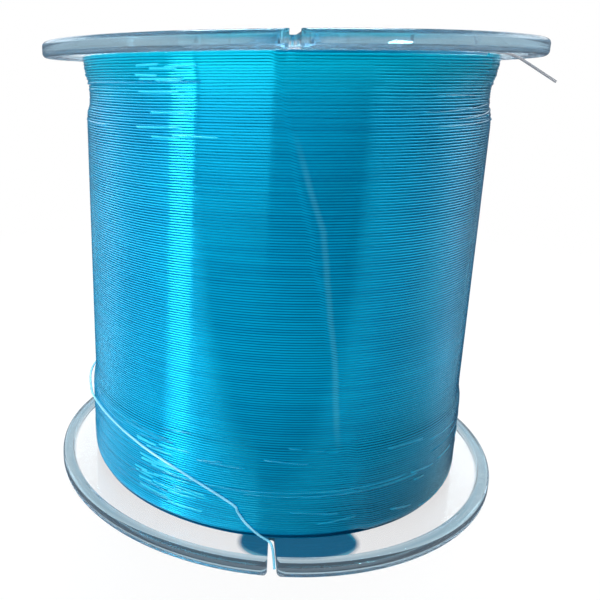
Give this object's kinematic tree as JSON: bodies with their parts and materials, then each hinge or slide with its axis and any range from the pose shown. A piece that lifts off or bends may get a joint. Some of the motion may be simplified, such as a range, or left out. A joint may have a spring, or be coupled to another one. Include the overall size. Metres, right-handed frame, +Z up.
{
  "type": "fishing line spool",
  "caption": "Clear plastic spool with round bead-rimmed flanges and line slots, wound full of blue monofilament fishing line.",
  "frame": {"origin": "centre of the underside, where the spool's axis meets the surface it stands on", "axes": "+Z up along the spool's axis, -Y towards the line slots"},
  "size_m": [0.11, 0.1099, 0.1022],
  "materials": {
    "clear_plastic": "clear, glossy",
    "wound_line": "translucent, glossy",
    "outer_turns": "translucent, glossy",
    "loose_line": "translucent, glossy"
  },
  "bodies": {
    "root": {"lower_flange": "clear_plastic", "upper_flange": "clear_plastic", "barrel": "clear_plastic", "line_pack": "wound_line", "line_outer_layer": "outer_turns", "line_finish_end": "loose_line", "line_start_end": "loose_line"}
  },
  "joints": []
}
